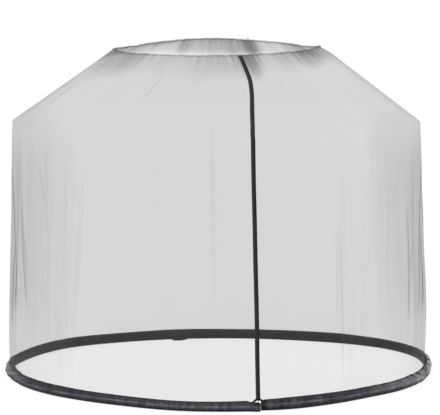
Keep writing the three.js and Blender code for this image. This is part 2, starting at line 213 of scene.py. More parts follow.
def lengths_along(points, axis=0):
    """The distance run along a line of points, from 0 at its first one."""
    step = np.linalg.norm(np.diff(points, axis=axis), axis=-1)
    start = np.zeros_like(np.take(step, [0], axis=axis))
    return np.concatenate([start, np.cumsum(step, axis=axis)], axis=axis)


def make_piece(name, points, faces, material, uv=None, attributes=None):
    """A mesh object from points and from arrays of faces, each array with its own
    number of corners. uv holds one pair for each corner, in the faces' order."""
    mesh = bpy.data.meshes.new(name)
    corners = np.concatenate([f.ravel() for f in faces])
    sizes = np.concatenate([np.full(len(f), f.shape[1]) for f in faces])
    starts = np.concatenate([[0], np.cumsum(sizes)[:-1]])
    for parts, label, values in (
        (mesh.vertices, "co", np.asarray(points, np.float32)),
        (mesh.loops, "vertex_index", corners.astype(np.int32)),
        (mesh.polygons, "loop_start", starts.astype(np.int32)),
    ):
        parts.add(len(values))
        parts.foreach_set(label, values.ravel())
    mesh.polygons.foreach_set("use_smooth", np.ones(len(sizes), bool))
    if uv is not None:
        layer = mesh.uv_layers.new(name="cloth")
        layer.data.foreach_set("uv", np.asarray(uv, np.float32).ravel())
    for label, values in (attributes or {}).items():
        attribute = mesh.attributes.new(label, "FLOAT", "POINT")
        attribute.data.foreach_set("value", np.asarray(values, np.float32).ravel())
    mesh.update(calc_edges=True)
    mesh.validate()
    mesh.materials.append(material)
    made = in_scene(name, mesh)
    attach(made, "root")
    print(f"{name}: {len(points)} points, {int(np.sum(sizes - 2))} triangles")
    return made


def grid_faces(rows, columns, closed=False):
    """The four corners of each face of a grid of points, row by row. A closed
    grid also joins its last column to its first."""
    index = np.arange(rows * columns).reshape(rows, columns)
    if closed:
        index = np.concatenate([index, index[:, :1]], axis=1)
    return np.stack(
        [index[:-1, :-1], index[1:, :-1], index[1:, 1:], index[:-1, 1:]], axis=-1
    ).reshape(-1, 4)


def rings_along(path, first, second, section):
    """A ring of points at each place of a path: each section point is a step in
    the first direction and a step in the second one."""
    return path[:, None] + section[..., :1] * first[:, None] + section[..., 1:] * second[:, None]


def capped_faces(rows, columns):
    """Faces that close rings of points, with a fan of triangles over each end. The
    middles of the first and the last ring come after all the ring points."""
    ends = []
    for row, turn in ((0, 1), (rows - 1, -1)):
        ring = np.arange(columns) + row * columns
        centre = np.full(columns, rows * columns + (row > 0))
        ends.append(np.stack([centre, ring, np.roll(ring, -1)], axis=-1)[:, ::turn])
    return [grid_faces(rows, columns, closed=True), np.concatenate(ends)]


def tube_piece(name, rings, material, girth, along, attributes=None):
    """A closed skin over rings of points. Its UV map runs over the girth in metres
    round each ring, and over the distances `along` from ring to ring."""
    rows, columns = rings.shape[:2]
    points = np.concatenate([rings.reshape(-1, 3), rings[[0, -1]].mean(axis=1)])
    u, v = np.meshgrid(np.linspace(0, girth, columns + 1), along)
    pairs = np.stack([u, v], axis=-1).reshape(-1, 2)
    uv = pairs[grid_faces(rows, columns + 1)].reshape(-1, 2)
    caps = np.tile(pairs[0], (2 * columns * 3, 1))
    spread = {
        label: np.append(values.ravel(), [values[0].mean(), values[-1].mean()])
        for label, values in (attributes or {}).items()
    }
    faces = capped_faces(rows, columns)
    return make_piece(name, points, faces, material, np.concatenate([uv, caps]), spread)


# %% [markdown]
# ## The hung shape, read from the model
#
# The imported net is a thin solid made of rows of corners, on its inner and outer
# faces. Sorted by height they fall into rows, and each row sorted round the net
# gives pairs whose middles lie on the cloth. Corners stand closest together at
# the zip, where the cloth's two edges meet, so each row is turned to begin there.

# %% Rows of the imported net
def corners_of(node):
    """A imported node's corners, each one once, as an array of x, y and z."""
    vertices = frame["nodes"][node].data.vertices
    flat = np.empty(len(vertices) * 3, np.float32)
    vertices.foreach_get("co", flat)
    return np.unique(np.round(flat.reshape(-1, 3).astype(float), 5), axis=0)


def azimuth_of(points):
    """Degrees round the net from the -Y side, growing towards +X, below 360."""
    return np.degrees(np.arctan2(points[..., 0], -points[..., 1])) % 360


def split_where(points, key, gap):
    """Points sorted by a key and parted wherever two neighbours differ by more."""
    order = np.argsort(key)
    parts = np.flatnonzero(np.diff(key[order]) > gap) + 1
    return np.split(points[order], parts)


BETWEEN_COLUMNS = 178.5   # degrees: a place with no corner, where the sorting starts


def net_row(points):
    """One row's middle line, from the zip's right side round to its left side."""
    order = points[np.argsort((azimuth_of(points) + BETWEEN_COLUMNS) % 360)]
    middle = (order[0::2] + order[1::2]) / 2
    step = np.linalg.norm(np.roll(middle, -1, axis=0) - middle, axis=1)
    return np.roll(middle, -np.argmin(step) - 1, axis=0)


net_corners = corners_of("net")
net_rows = np.array([
    net_row(row) for row in split_where(net_corners, -net_corners[:, 2], 0.012)
])
down_rows = lengths_along(net_rows).mean(axis=1)
print("Rows and columns:", net_rows.shape[:2], "- cloth down the net:", down_rows[-1].round(3))

# %% [markdown]
# ## A fine grid over the cloth
#
# Netting falls in folds that run down it, so the grid is fine round the net and
# coarser down it. Near the gathered edge, where the folds are short, its rows are
# close together too. The roof and the wall are each smooth, and the shoulder
# between them stays as crisp as a cloth over a pole end.

# %% Fine rows and columns
ROUND_COLUMNS = 1300
SHOULDER_TOP, SHOULDER_FOOT = 6, 7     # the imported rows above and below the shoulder
WALL_ROW = 9                           # a packed row of the wall, for the columns
roof_end, wall_start, net_foot = down_rows[SHOULDER_TOP], down_rows[SHOULDER_FOOT], down_rows[-1]
roof_steps = np.concatenate([
    np.arange(0, 0.020, 0.005), np.arange(0.020, 0.130, 0.011),
    np.arange(0.130, 0.300, 0.018), np.arange(0.300, roof_end - 0.02, 0.040), [roof_end],
])
wall_steps = np.concatenate([
    [wall_start], np.linspace(wall_start + 0.03, net_foot - 0.075, 30),
    net_foot - np.array([0.045, 0.025, 0.012, 0.0]),
])
knot_degrees = azimuth_of(net_rows[WALL_ROW]) - azimuth_of(net_rows[WALL_ROW, :1])
knot_degrees = np.where(knot_degrees < 0, knot_degrees + 360, knot_degrees)
round_at = np.linspace(0, knot_degrees[-1], ROUND_COLUMNS)
fine_columns = through(net_rows.transpose(1, 0, 2), knot_degrees, round_at).transpose(1, 0, 2)
hung = np.concatenate([
    through(fine_columns[:SHOULDER_FOOT], down_rows[:SHOULDER_FOOT], roof_steps),
    through(fine_columns[SHOULDER_FOOT:], down_rows[SHOULDER_FOOT:], wall_steps),
])
down = np.concatenate([roof_steps, wall_steps])[:, None]
round_net = round_at[None, :]
turn = np.radians(round_net)
radius = np.hypot(hung[..., 0], hung[..., 1])
from_zip = np.radians(np.minimum(round_net, knot_degrees[-1] - round_net)) * radius
print("Fine grid:", hung.shape[:2])

# %% The zip's waver
# It strays a little more sideways than the model's rows show: by metres down the
# cloth, each with how far up and down it reaches and how far it goes.
ZIP_WAVER = [(0.02, 0.13, 0.0070), (1.15, 0.28, 0.0055), (0.76, 0.13, 0.0018)]
CARRIED_ALONG = 0.20        # metres of cloth beside the zip that go with it
waver = bells(down, *ZIP_WAVER) * bell(from_zip, 0.0, CARRIED_ALONG)
hung = hung + waver[..., None] * np.array([1, 0, 0])
print("The zip strays by up to", (waver.max() * 1000).round(1), "mm")

# %% [markdown]
# ## Folds in the netting
#
# A hanging net is never smooth. Each fold here is a soft ridge or trough whose
# height falls off to both sides as a bell curve, and which drifts a little on
# its way down. The larger ones are listed one by one, and many fine ones are drawn
# by a seeded generator, so they come out the same every time.

# %% Folds
# Degrees at the top and the foot, distance down the cloth, half width, depth
# and how many more layers lie over each other where the cloth doubles over.
PLACED_FOLDS = [
    # top, foot, from, to, width, depth, layers
    (262.6, 279.5, 1.00, 2.28, 0.013, 0.008, 2.6),   # these fan out from the left tip
    (278.9, 286.0, 0.96, 1.90, 0.015, 0.006, 1.1),
    (281.3, 286.0, 1.36, 2.14, 0.012, 0.006, 1.8),
    (252.3, 256.3, 1.75, 2.42, 0.014, 0.006, 2.4),
    (73.0, 64.8, 1.00, 2.24, 0.012, 0.005, 2.8),     # and these from the right tip
    (84.5, 88.0, 1.55, 2.32, 0.014, 0.008, 2.6),
    (63.2, 54.8, 1.00, 1.95, 0.014, 0.005, 0.8),
    (99.0, 106.2, 1.50, 2.46, 0.014, 0.006, 2.0),
    (311.4, 306.8, 1.20, 2.56, 0.018, 0.004, 0.24),
    (23.6, 23.7, 1.35, 2.20, 0.010, 0.005, 0.25),
    (24.6, 25.8, 1.35, 2.56, 0.010, 0.006, 0.42),
    (292.5, 296.7, 1.10, 1.40, 0.014, 0.005, 0.40),
    (51.5, 44.6, 1.08, 1.46, 0.014, 0.005, 0.28),
    (327.6, 323.2, 0.20, 0.54, 0.014, 0.005, 0.25),
    (280.0, 281.0, 0.28, 0.74, 0.014, 0.007, 0.70),
    (171.6, 170.6, 0.92, 2.50, 0.016, 0.002, 0.34),
]
FINE_FOLDS = 90
# A fine fold's place, drift, start, reach, half width and depth: least and most.
FINE_LEAST = (0, -2.0, 0.90, 0.5, 0.012, 0.0006)
FINE_MOST = (360, 2.0, 1.5, 1.6, 0.032, 0.0028)
draw = np.random.default_rng(7)


def degrees_from(centre):
    """How far round the net each column is from a place, from -180 to 180."""
    return (round_net - centre + 180) % 360 - 180


def ridge(top_degrees, foot_degrees, start, end, width):
    """One fold, from 0 to 1: a bell across it. It grows over the first third of
    its run and fades over the last quarter."""
    run = (down - start) / (end - start)
    centre = top_degrees + (foot_degrees - top_degrees) * run
    return bell(np.radians(degrees_from(centre)) * radius, 0.0, width) * between(run, 0.0, 0.33, 0.75, 1.0)


placed = sum(depth * ridge(*fold) for *fold, depth, _ in PLACED_FOLDS)
doubled = sum(more * ridge(*fold) for *fold, _, more in PLACED_FOLDS)
relief = placed
for _ in range(FINE_FOLDS):
    centre, drift, start, reach, width, depth = draw.uniform(FINE_LEAST, FINE_MOST)
    end = min(start + reach, net_foot - 0.02)
    sign = draw.choice([-1, 1])
    relief = relief + depth * sign * ridge(centre, centre + drift, start, end, width)
print("Fold relief in mm:", (relief.min() * 1000).round(1), "to", (relief.max() * 1000).round(1))

# %% [markdown]
# ## Gathers at the top opening
#
# An elastic in the top hem pulls nine metres of cloth into four and a half. The
# surplus bunches up unevenly, here in a dense clump and there hardly at all. The
# table has a row for each clump, and small pleats, made of sines
# whose counts share no factor, run down from them and die out.

# %% Gathers
GATHERS = [
    # middle and half width in degrees round from the zip, layers more at the very
    # hem, layers more below it, and metres further down to where those end
    (4, 5, 3.0, 5.4, 0.09),      # beside the zip, the densest of all
    (352, 9, 0.4, 1.0, 0.12),
    (341, 5, 0.3, 0.4, 0.10),
    (24, 7, 0.3, 0.5, 0.06),
    (41, 9, 0.8, 2.6, 0.02),
    (54, 7, 1.0, 1.2, 0.00),
    (118, 12, 1.2, 1.0, -0.02),
    (152, 4, 2.0, 4.2, 0.04),    # the densest at the back
    (161, 5, 0.6, 1.4, 0.04),
    (172, 10, 1.8, 1.3, 0.05),
    (187, 4, 1.8, 1.5, 0.02),
    (203, 10, 3.4, 0.0, -0.02),
    (230, 16, 1.2, 0.8, -0.08),
    (283, 11, 1.5, 1.0, 0.20),
    (300, 8, 0.8, 1.5, 0.10),
    (325, 14, 0.0, 0.1, 0.12),
]
GATHERS_ELSEWHERE = (0.8, 0.6, 0.21)
at_hem, below_hem, gather_end = (
    elsewhere + sum(
        more[kind] * bell(degrees_from(middle), 0, half_width)
        for middle, half_width, *more in GATHERS
    )
    for kind, elsewhere in enumerate(GATHERS_ELSEWHERE)
)
print("Layers more below the hem, least and most:", below_hem.min().round(1), below_hem.max().round(1))

# %% Pleats and streaks that run down from the hem
PLEATS = [
    # count round the net, depth in metres, reach down the cloth, phase
    (53, 0.0022, 0.10, 0.3), (71, 0.0020, 0.08, 1.7),
    (97, 0.0016, 0.06, 4.0), (131, 0.0010, 0.04, 2.2),
]
STREAKS = [(61, 0.10, 0.4), (89, 0.10, 2.6), (113, 0.10, 5.1), (151, 0.08, 1.1)]   # count, share, phase
at_back = smoothstep(-np.cos(turn), -0.2, 0.3)
pleats = sum(
    depth * np.exp(-down / reach) * np.sin(count * turn + phase + 3 * np.sin(3 * turn))
    for count, depth, reach, phase in PLEATS
)
held_by_hem = 0.25 + 0.75 * smoothstep(down, 0.004, 0.030)
pleats = pleats * held_by_hem * (0.5 + 0.2 * below_hem) * (1 - 0.4 * at_back)
streaks = sum(
    share * np.sin(count * turn + phase + 2 * np.sin(4 * turn)) for count, share, phase in STREAKS
) * (1 - 0.5 * at_back)
print("Pleats in mm:", (pleats.min() * 1000).round(1), "to", (pleats.max() * 1000).round(1))

# %% How many layers of netting lie over each other
# The roof is slackest at the front, the back and the two sides, and thin between
# them. At the sides the wall is thin below the shoulder and again near the foot.
TAUT_TURN = 0.185           # radians left of the zip, where the roof is slackest
taut = turn + TAUT_TURN
roof_stretch = 0.485 + 0.06 * np.cos(taut) + 0.345 * np.cos(taut) ** 2
roof_stretch = roof_stretch + bells(round_net, (256, 16, 0.36), (83, 15, 0.32))
near_tips = bells(round_net, (280, 14, 0.26), (57, 12, 0.156))
roof_stretch = roof_stretch + near_tips * smoothstep(down, 0.60, 0.85)
at_sides = bells(round_net, (75, 38, 1), (259, 34, 1))
thinner = 0.04 + 0.29 * (1 - smoothstep(down, 0.88, 1.30)) + 0.30 * smoothstep(down, 2.05, 2.45)
on_roof = np.arange(len(down))[:, None] < len(roof_steps)
stretched = np.where(on_roof, roof_stretch, 1 - at_sides * thinner)
bunched = at_hem * np.exp(-down / (0.024 + 0.012 * at_back))
bunched = bunched + below_hem * (1 - smoothstep(down, 0.5 * gather_end * at_back, gather_end))
bunched = bunched * (1 + streaks * (1 - smoothstep(down, 0.05, 0.25)))
layers = stretched + bunched + doubled + 0.05 * np.clip((relief - placed) / 0.003, -1, 1)
print("Layers of netting, least and most:", layers.min().round(2), layers.max().round(2))

# %% The cloth's surface
def outward_of(grid):
    """The unit normals of a grid: its slope round the net crossed with upwards."""
    return unit(np.cross(np.gradient(grid, axis=1), -np.gradient(grid, axis=0)))


outward = outward_of(hung)
free = smoothstep(from_zip, 0.016, 0.060)
loose = 1 - smoothstep(down, net_foot - 0.10, net_foot - 0.01)
slack_left = -0.005 * between(down, 0.95, 1.15, 2.20, 2.50)
slack_right = -0.0075 * between(down, 0.90, 1.20, 1.70, 2.12) - 0.003 * smoothstep(down, 2.20, 2.35)
slack = slack_left * bell(round_net, 259, 28) + slack_right * bell(round_net, 79, 25)
net_points = hung + outward * ((relief * loose + slack + pleats) * free)[..., None]

# The hem hangs a little below the model's edge, most of all at the front.
hem_drop = 0.006 + 0.008 * np.clip(np.cos(turn), 0, 1) ** 2
downwards = unit(net_points[3] - net_points[0])
net_points = net_points + (hem_drop * (1 - smoothstep(down, 0.0, 0.06)))[..., None] * downwards

# On the right the roof is pulled straight between the opening and the shoulder.
pulled = bell(round_net, 84, 24) * smoothstep(down, 0.02, 0.12) * (down <= roof_end)
pulled = (0.0145 - 0.034 * (down - 0.02)) * pulled
net_points = net_points + outward * pulled[..., None]
print("Cloth moved by at most", (np.abs(net_points - hung).max() * 1000).round(1), "mm")


# %% The shoulder
def crossing(a, b, c, d):
    """Where two lines come closest, for each column: the line from a through b,
    and the line from d through c. It is the middle of the shortest step between."""
    u, v, w = b - a, c - d, b - c
    uu, uv, vv = (u * u).sum(-1), (u * v).sum(-1), (v * v).sum(-1)
    uw, vw = (u * w).sum(-1), (v * w).sum(-1)
    along_u = (uv * vw - vv * uw) / (uu * vv - uv**2)
    along_v = (uu * vw - uv * uw) / (uu * vv - uv**2)
    return (b + along_u[:, None] * u + c + along_v[:, None] * v) / 2


# The shoulder is crisp where the roof's line meets the wall's, and on the far
# left it is pulled out to a point, as over the tip of a parasol's rib.
TIP_DEGREES, TIP_HALF_DEGREES = 259, 6
TIP_OUT, TIP_DROP = 0.0095, 0.011
EDGE_STEP = 0.0015          # metres from the crisp line to the grid's row on each side
UPWARDS = np.array([0.0, 0.0, 1.0])
edge = len(roof_steps) - 1
corner = crossing(*(net_points[edge + step] for step in (-3, -1, 2, 4)))
tip = TIP_OUT * unit(corner * (1, 1, 0)) - TIP_DROP * UPWARDS
tip = tip * bell(round_at, TIP_DEGREES, TIP_HALF_DEGREES)[:, None]
net_points = net_points + tip * between(down, 0.30, roof_end, wall_start, 1.20)[..., None]
corner = corner + tip
away = smoothstep(from_zip[edge], 0.03, 0.12)[:, None]
up_the_roof = unit(net_points[edge - 1] - corner)
for row, step in ((edge, up_the_roof), (edge + 1, -UPWARDS)):
    net_points[row] = net_points[row] * (1 - away) + (corner + EDGE_STEP * step) * away
print("Shoulder's radius:", np.hypot(corner[:, 0], corner[:, 1]).mean().round(3), "m")

# %% The foot beside the zip
# It dips to the sleeve, and then rises to the tapes.
dip = 0.012 * bell(from_zip, 0.044, 0.018) - 0.009 * bell(from_zip, 0.008, 0.014)
dip = dip * smoothstep(down, net_foot - 0.09, net_foot)
net_points = net_points - dip[..., None] * UPWARDS
print("Dip of the foot:", (dip.max() * 1000).round(1), "mm")

# %% [markdown]
# ## Netting as a material
#
# Polyester mosquito netting is warp-knitted from dark thread as fine as hair. At
# this distance no hole can be seen, only a grey veil: each layer lets about four
# fifths of the light through. Seen at a slant its threads crowd together and it
# looks denser. The see-through share of one layer is raised to the power of the
# number of layers, so gathers and hems darken as real ones do.

# %% Netting material
THREAD_COLOUR = "#68686b"
THREAD_SHARE = 0.205        # of the view that one flat layer covers
SLANT_SHARE = 0.205         # more, where it is seen edge on
MESH_PITCH = 0.003          # metres: real netting has 1.5 mm, drawn twice as coarse

netting = blank_material("warp_knitted_polyester_netting")
cloth_uv = add(netting, "UVMap", uv_map="cloth")
turned = add(netting, "Mapping", {
    "Vector": cloth_uv, "Rotation": (0, 0, np.pi / 4),
    "Scale": (1 / MESH_PITCH,) * 3,
})
cells = add(netting, "TexVoronoi", {
    "Vector": turned, "Scale": 1.0, "Randomness": 0.15,
}, feature="DISTANCE_TO_EDGE")
thread = add(netting, "MapRange", {
    "Value": cells, "From Min": 0.0, "From Max": 0.35,
    "To Min": 1.22, "To Max": 0.88,
})
surface = add(netting, "NewGeometry")
slant = add(netting, "LayerWeight", {"Blend": 0.5, "Normal": surface.outputs["True Normal"]})
slant_share = add(netting, "MapRange", {
    "Value": slant.outputs["Facing"], "From Min": 0.25, "From Max": 1.0,
    "To Min": THREAD_SHARE, "To Max": THREAD_SHARE + SLANT_SHARE,
})
drawn = add(netting, "Math", {0: slant_share, 1: thread}, operation="MULTIPLY")
open_share = add(netting, "Math", {0: 1.0, 1: drawn}, operation="SUBTRACT")
layer_count = add(netting, "Attribute", attribute_name="layers")
open_all = add(netting, "Math", {0: open_share, 1: layer_count.outputs["Fac"]}, operation="POWER")
cover = add(netting, "Math", {0: 1.0, 1: open_all}, operation="SUBTRACT")
tint = add(netting, "TexNoise", {"Vector": cloth_uv, "Scale": 3.0, "Detail": 2.0})
thread_tint = add(netting, "Mix", {
    0: tint, 6: linear("#626265"), 7: linear(THREAD_COLOUR),
}, data_type="RGBA")
shader = add(netting, "BsdfPrincipled", {
    "Base Color": thread_tint.outputs[2], "Roughness": 0.7, "Specular IOR Level": 0.25,
    "Alpha": cover,
})
finish_with(netting, shader)

# %% The net
NET_CUT_ROUND = 9.2         # metres: the cloth's width before it was gathered
net_u, net_v = np.broadcast_arrays(round_net / 360 * NET_CUT_ROUND, down)
net_faces = grid_faces(*net_points.shape[:2])
net_uv = np.stack([net_u, -net_v], axis=-1).reshape(-1, 2)[net_faces]
net = make_piece(
    "netting_panel", net_points.reshape(-1, 3), [net_faces], netting,
    net_uv, {"layers": layers},
)
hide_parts("net")

# %% [markdown]
# ## The rolled hem
#
# The top edge of the netting is turned over an elastic cord and sewn, which
# makes a soft roll as thick as a pencil. Its netting lies many layers deep, so
# it reads as a dark line round the opening. Where the end of the elastic is
# knotted, a small tuft stands up.

# %% Hem roll
HEM_RADIUS, HEM_GIRTH = 0.0058, 0.024
KNOT_DEGREES, KNOT_HALF_DEGREES, KNOT_RISE = 151.6, 0.55, 0.007
rim = net_points[0]
rim_out = unit(rim * (1, 1, 0))
rim_turn = turn[0][:, None]
knot = bell(round_at, KNOT_DEGREES, KNOT_HALF_DEGREES)[:, None]
lumpy = 1 + 0.16 * np.sin(61 * rim_turn) * np.sin(7 * rim_turn + 1) + 0.12 * np.sin(143 * rim_turn + 2)
hem_size = HEM_RADIUS * lumpy * (1 + 0.5 * knot)
hem_turn = full_turn(10)
hem_section = np.stack([
    np.cos(hem_turn) * hem_size,
    np.sin(hem_turn) * hem_size * (1 + 0.5 * knot) + KNOT_RISE * knot,
], axis=-1)
hem_roll = rings_along(rim, rim_out, UPWARDS[None], hem_section)
hem_layers = np.ones_like(hem_roll[..., 0]) * (0.9 + 0.6 * at_back[0])[:, None]
tube_piece(
    "rolled_top_hem", hem_roll[:, ::-1], netting, HEM_GIRTH, lengths_along(rim),
    {"layers": hem_layers},
)

# %% [markdown]
# ## The weight sleeve
#
# The sleeve is a tube of coated polyester, laid round once on the ground and
# filled, so that it is round on top and flat underneath. Its section is a
# rounded box whose sides follow a sine to the power 0.85. The model's rings give
# its middle line, its width and its height at every step.

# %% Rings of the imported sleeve
sleeve_corners = corners_of("weight_sleeve")
sleeve_rings = split_where(sleeve_corners, azimuth_of(sleeve_corners), 0.3)
ring_degrees = np.array([azimuth_of(ring).mean() for ring in sleeve_rings])
ring_reach = [np.hypot(ring[:, 0], ring[:, 1]) for ring in sleeve_rings]
ring_shape = np.array([
    ((reach.max() + reach.min()) / 2, (reach.max() - reach.min()) / 2, np.ptp(ring[:, 2]))
    for reach, ring in zip(ring_reach, sleeve_rings)
])
SLEEVE_STEPS = 1500
sleeve_degrees = np.linspace(ring_degrees[0], ring_degrees[-1], SLEEVE_STEPS)
middle, half_width, height = through(ring_shape, ring_degrees, sleeve_degrees).T
sleeve_along = np.radians(sleeve_degrees - sleeve_degrees[0]) * middle
sleeve_left = sleeve_along[-1] - sleeve_along
print("Sleeve rings:", len(sleeve_rings), "- length:", sleeve_along[-1].round(2), "m")

# %% [markdown]
# ## The two ends of the sleeve
#
# At its left end the tube is sewn shut and droops, so its top falls away over the
# last hand's breadth while its tip swings outwards. Its right end is tucked in
# and rounder. A curve like a quarter circle, flattened, closes each of them.

# %% Ends
def closing(distance, reach, power=0.5):
    """0 at the end and 1 at the reach, along a quarter circle or a flatter arc."""
    t = np.clip(distance / reach, 0, 1)
    return (1 - (1 - t) ** 2) ** power


left_height = 0.85 + 0.15 * closing(sleeve_left, 0.100, 0.65)
right_height = 0.78 + 0.22 * closing(sleeve_along, 0.070, 0.6)
end_share = smoothstep(sleeve_left, 0.0, 0.10) * smoothstep(sleeve_along, 0.0, 0.12)
full_left, full_right = height[sleeve_degrees < 356][-1], height[sleeve_degrees > 14][0]
full_height = np.where(sleeve_degrees > 180, full_left, full_right)
height = height * end_share + full_height * (1 - end_share)
height = height * left_height * right_height
half_width = half_width * (0.10 + 0.90 * closing(sleeve_left, 0.022)) * (
    0.14 + 0.86 * closing(sleeve_along, 0.030)
)
middle = middle + 0.018 * (1 - smoothstep(sleeve_left, 0.0, 0.11))

# Where the ring was pushed about by hand: degrees, half width, metres outwards.
middle = middle + bells(
    sleeve_degrees, (92, 17, 0.021), (284, 24, -0.006), (250, 6, 0.006), (277, 9, -0.006),
    (97, 5, -0.006), (70, 6, -0.005),
)
inwards = bells(sleeve_degrees, (269, 8, 0.017), (57, 8, 0.017), (82, 9, -0.008))
narrower = 0.010 * bell(sleeve_degrees, 240, 8)     # on its outer side only
middle, half_width = middle - (inwards + narrower) / 2, half_width + (inwards - narrower) / 2
sleeve_degrees = sleeve_degrees + 0.45 * (1 - smoothstep(sleeve_left, 0.0, 0.10))
sleeve_degrees = sleeve_degrees - 0.20 * (1 - smoothstep(sleeve_along, 0.0, 0.08))
print("Sleeve's width:", (half_width.min() * 2).round(3), "to", (half_width.max() * 2).round(3), "m")

# %% [markdown]
# ## Creases in the sleeve
#
# Where the tube bends, its cloth is too long on the inside and buckles crosswise,
# most of all at the far left and right. Along the top it puckers at the seam, and
# along its outer side the filling has sunk and left a long soft ridge. All of
# them are waves over the length and the way round the section, whose valleys are
# narrow and whose crests are broad. The same waves are kept as a tone: a painted
# sheen on the crests and painted shade in the valleys.

# %% Creases
SECTION_POINTS = 44
section_turn = full_turn(SECTION_POINTS)[None, :]
along = sleeve_along[:, None]
degrees_here = sleeve_degrees[:, None]
from_top = (section_turn + np.pi) % (2 * np.pi) - np.pi


def valleys(phase, sharpness=3.0):
    """A wave from -1 to 0 whose valleys are narrow and whose crests are broad."""
    return -(((1 - np.cos(phase)) / 2) ** sharpness)


sleeve_draw = np.random.default_rng(23)


def wandering(slowest, fastest, waves=9):
    """A smooth uneven line between about -1 and 1 along the sleeve: the sum of
    sines with seeded wave numbers and phases."""
    number, phase, share = sleeve_draw.uniform(
        (slowest, 0, 0.4), (fastest, 2 * np.pi, 1.0), (waves, 3)
    ).T
    return (share * np.sin(number * along + phase)).sum(axis=1, keepdims=True) / np.sqrt(waves)


wander, drift, patches, grain_line = (
    wandering(2, 14), wandering(1, 6), wandering(8, 34), wandering(30, 120)
)
outer = bell(section_turn, np.pi * 0.45, 1.0)
upper = bell(from_top, 0.0, 0.8)
inner = bell(section_turn, np.pi * 1.6, 0.9)
bent = np.maximum(
    between(degrees_here, 34, 72, 100, 122), 0.8 * between(degrees_here, 243, 256, 272, 292)
)

on_left = smoothstep(degrees_here, 200, 240)
buckle = valleys(along * (41 - 9 * on_left) + 4.2 * section_turn * on_left + 2.6 * wander, 3.5)
buckle = buckle * (bent + 0.10 * (1 + wander))
diagonal = valleys(along * 27 - 2.2 * section_turn + 5 * wander, 3) * (0.45 + 0.5 * bent)
sharp = valleys(along * 67 + 1.8 * section_turn + 6 * patches, 6) * (0.25 + 0.8 * bent)
ridge_line = bell(section_turn, np.pi * (0.475 + 0.02 * drift), 0.12)
pucker = 0.0010 * np.sin(along * 260 + 4 * wander) * upper
inner_folds = valleys(along * 63 + 0.8 * section_turn - 4 * wander, 3) * inner
sunk = bell(section_turn, np.pi * 0.40, 0.22)
lump = between(degrees_here, 177.0, 180.5, 182.6, 183.6) * bell(section_turn, 1.40 * np.pi, 0.7)
crease = (
    0.0020 + 0.0085 * buckle * (outer + 0.5 * upper) + 0.0030 * diagonal + 0.0028 * sharp * outer
    + 0.0016 * ridge_line - 0.0024 * sunk + pucker + 0.0028 * inner_folds * (0.5 + bent)
    + 0.045 * lump
)
crease = crease * smoothstep(sleeve_left[:, None], 0.0, 0.05) * smoothstep(along, 0.0, 0.05)
print("Sleeve relief in mm:", (crease.min() * 1000).round(1), "to", (crease.max() * 1000).round(1))

# %% The sleeve's skin
FULLNESS = 0.85
LEAST_RAISED = 0.0004       # metres above the ground
up = (full(np.cos(section_turn), FULLNESS) + 1) / 2
sideways = full(np.sin(section_turn), FULLNESS) * half_width[:, None] + crease * np.sin(section_turn)
raised = up * height[:, None] + crease * np.cos(section_turn) * smoothstep(up, 0.02, 0.2)
sleeve_turn = np.radians(degrees_here)
reach = middle[:, None] + sideways
sleeve_skin = np.stack([
    reach * np.sin(sleeve_turn), -reach * np.cos(sleeve_turn),
    ground + np.maximum(raised, LEAST_RAISED),
], axis=-1)
print("Sleeve's top above the ground:", (sleeve_skin[..., 2].max() - ground).round(3), "m")

# %% Where the sleeve's cloth gets its dark top seam, painted shade and painted sheen
on_right = between(degrees_here, 44, 60, 96, 110)
on_left_bend = bell(degrees_here, 272, 24)
half_turns = section_turn / np.pi      # 0 at the top, 0.5 outermost, 1 at the ground
# Darker along the top: partly the real seam there and partly painted shade, less so on the right.
dark_top = bell(from_top, 0.05, 0.35) * (1 - 0.9 * on_right) * (1 - 0.3 * bell(degrees_here, 266, 12))
# Painted shade along the underside, where the tube curves down to the ground, less so on the right.
dark_foot = smoothstep(half_turns + 0.13 * on_left_bend, 0.57, 0.70)
dark_foot = dark_foot * (1 - smoothstep(half_turns, 1.25, 1.40)) * (1 - 0.45 * on_right)
# Painted shadow over the top of the left end and over the right end, by the gap at the zip.
at_left_end = (1 - smoothstep(sleeve_left[:, None], 0.02, 0.09)) * (1 - smoothstep(half_turns, 0.30, 0.42))
at_right_end = 0.7 * (1 - smoothstep(along, 0.02, 0.05))
# Painted shade on the upper inner side at the far left and the far right.
shaded = bells(degrees_here, (244, 18, 1), (105, 14, 0.5)) * smoothstep(-from_top, 0.0, 0.4)
# The sum mixes in the near-black seam colour. Apart from the real top seam it is painted shade, on the whole
# inner side too.
seam_and_shade_share = 0.85 * dark_top + 0.85 * dark_foot + at_left_end + at_right_end + 0.35 * inner + shaded
seam_and_shade_share = np.clip(seam_and_shade_share, 0, 1)
# Painted sheen: the outward sides at the bends, on the right and on the left, turn pale where the side lamps
# graze them.
sheen_right = (1 - smoothstep(degrees_here, 104, 118)) * sum(
    share * smoothstep(degrees_here, start, end)
    for start, end, share in ((30, 46, 0.20), (46, 62, 0.22), (64, 76, 0.20), (70, 82, 0.38))
)
sheen_left = 0.55 * between(degrees_here, 246, 254, 262, 290)
facing_out = smoothstep(from_top, -0.12 * np.pi, 0.10 * np.pi) * (1 - smoothstep(half_turns, 0.75, 0.95))
facing_out = facing_out * (
    1 - (1 - 0.4 * on_right) * smoothstep(half_turns + 0.12 * on_left_bend, 0.46, 0.62)
)
# The painted sheen is weaker in the crease valleys and sharp creases, which is painted shade, and it is
# patchy at random.
slits = sharp * bell(section_turn, 0.15 * np.pi, 0.75)
patchy_sheen = 1 + 0.5 * buckle + slits + 0.4 * diagonal + 0.18 * patches
painted_sheen = (sheen_right + sheen_left) * facing_out * patchy_sheen
